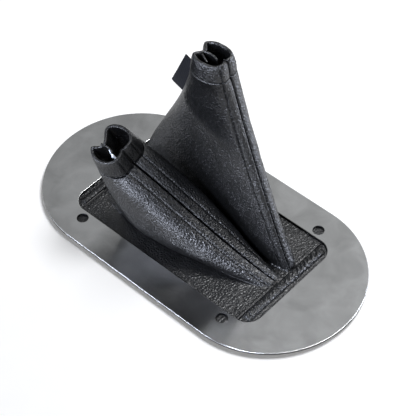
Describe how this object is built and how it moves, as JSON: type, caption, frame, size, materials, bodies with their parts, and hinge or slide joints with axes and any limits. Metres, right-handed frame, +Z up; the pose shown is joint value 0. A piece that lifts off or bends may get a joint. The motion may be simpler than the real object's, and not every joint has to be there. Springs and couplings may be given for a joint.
{
  "type": "gear lever gaiter",
  "caption": "Leather gaiter for a pair of levers: a short leaning boot and a tall upright one, held under a brushed steel trim ring.",
  "frame": {"origin": "middle of the trim ring, on the surface that the leather flange rests on", "axes": "+X along the ring, towards the end where the boots' front seams meet the base; +Y across it, from the short boot to the tall one; +Z up"},
  "size_m": [0.29, 0.15, 0.1713],
  "materials": {
    "steel": "fine brushed",
    "leather": "pebbled grain, half matt",
    "woven": "tight satin weave"
  },
  "bodies": {
    "root": {"trim_ring": "steel", "near_panel": "leather", "centre_panel": "leather", "far_panel": "leather", "front_end_strip": "leather", "rear_end_strip": "leather", "woven_tag": "woven"}
  },
  "joints": []
}
